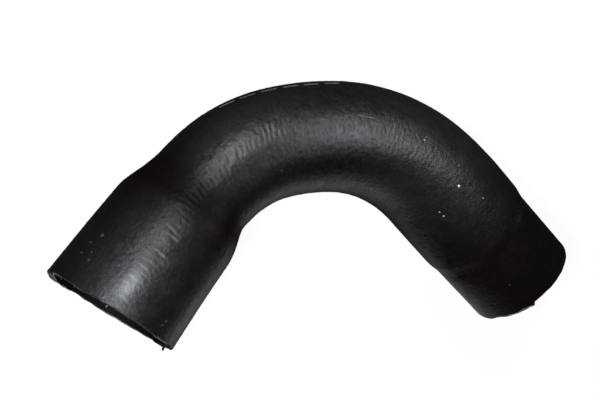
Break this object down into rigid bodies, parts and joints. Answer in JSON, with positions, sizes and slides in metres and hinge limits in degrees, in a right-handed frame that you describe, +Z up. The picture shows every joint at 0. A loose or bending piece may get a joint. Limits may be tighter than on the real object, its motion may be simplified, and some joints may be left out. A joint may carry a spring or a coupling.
{
  "type": "charge air hose",
  "caption": "Moulded rubber air hose with a wide flared bell end, a reducer, a long bend and a plain cuff end, open right through.",
  "frame": {"origin": "middle of the bounding box's base, on the surface that the hose lies on", "axes": "+X runs level from the middle of the bell's mouth to the middle of the cuff's mouth, +Y towards the outside of the bend, +Z up; the hose lies on its side"},
  "size_m": [0.3062, 0.1348, 0.0765],
  "materials": {
    "reinforced_rubber": "satin black rubber with the fine ribs of its textile wrap printed into it"
  },
  "bodies": {
    "root": {"charge_air_hose": "reinforced_rubber"}
  },
  "joints": []
}
